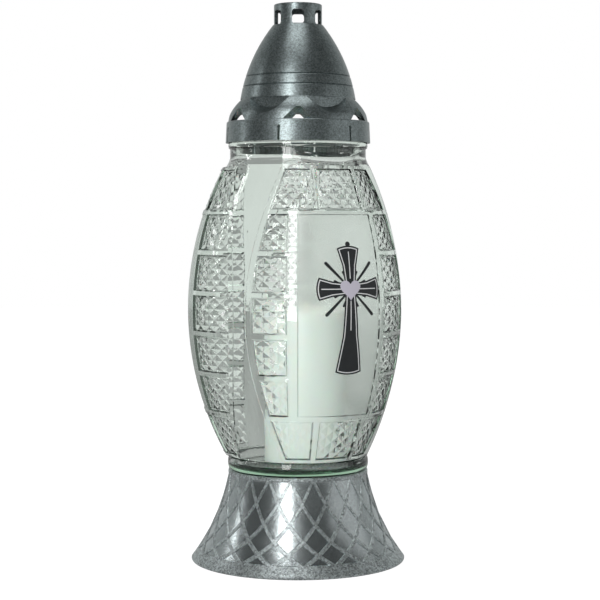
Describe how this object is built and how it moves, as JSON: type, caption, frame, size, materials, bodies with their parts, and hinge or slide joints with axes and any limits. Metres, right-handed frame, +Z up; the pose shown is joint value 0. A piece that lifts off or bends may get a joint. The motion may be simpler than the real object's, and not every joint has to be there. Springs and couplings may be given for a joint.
{
  "type": "sanctuary lamp",
  "caption": "Tall pressed-glass candle lantern on a flared silver foot, with a lift-off vented lid, a printed cross and a refill candle inside.",
  "frame": {"origin": "centre of the foot's underside, on the surface that the lamp stands on", "axes": "+Z up along the lamp's axis; the printed cross faces -Y; +X is to the right of someone who looks at the cross"},
  "size_m": [0.1328, 0.1338, 0.3399],
  "materials": {
    "lid_paint": "graphite-silver metallic paint on a plastic moulding, fine grain",
    "foot_paint": "silver metallic paint with coarse flake, glossy diamonds and matt raised lattice",
    "pressed_glass": "clear soda-lime pressed glass with a grey-green edge",
    "tinplate": "bright tinplate",
    "rivet_alloy": "plain aluminium rivets",
    "hot_glue": "translucent hot-melt glue",
    "print_white": "white printed outline",
    "print_black": "black screen print",
    "print_lilac": "pale lilac-grey screen print",
    "cup_plastic": "thin white plastic refill cup",
    "wax": "white paraffin wax",
    "wick_cotton": "braided cotton wick"
  },
  "bodies": {
    "lamp": {"glass_body": "pressed_glass", "foot_skirt": "foot_paint", "glue_dabs": "hot_glue", "decal_film": "print_white", "cross_decal": "print_black", "heart_decal": "print_lilac"},
    "lid": {"chimney_crown": "lid_paint", "dome_cap": "lid_paint", "vent_ring": "lid_paint", "heat_shield": "tinplate", "shield_rivets": "rivet_alloy"},
    "candle": {"candle_cup": "cup_plastic", "candle_wax": "wax", "candle_wick": "wick_cotton", "wick_sustainer": "tinplate"}
  },
  "joints": [
    {"name": "lid_lift", "type": "slide", "parent": "lamp", "child": "lid", "axis": [0, 0, 1], "range_m": [0, 0.12]},
    {"name": "candle_lift", "type": "slide", "parent": "lamp", "child": "candle", "axis": [0, 0, 1], "range_m": [0, 0.12]}
  ]
}
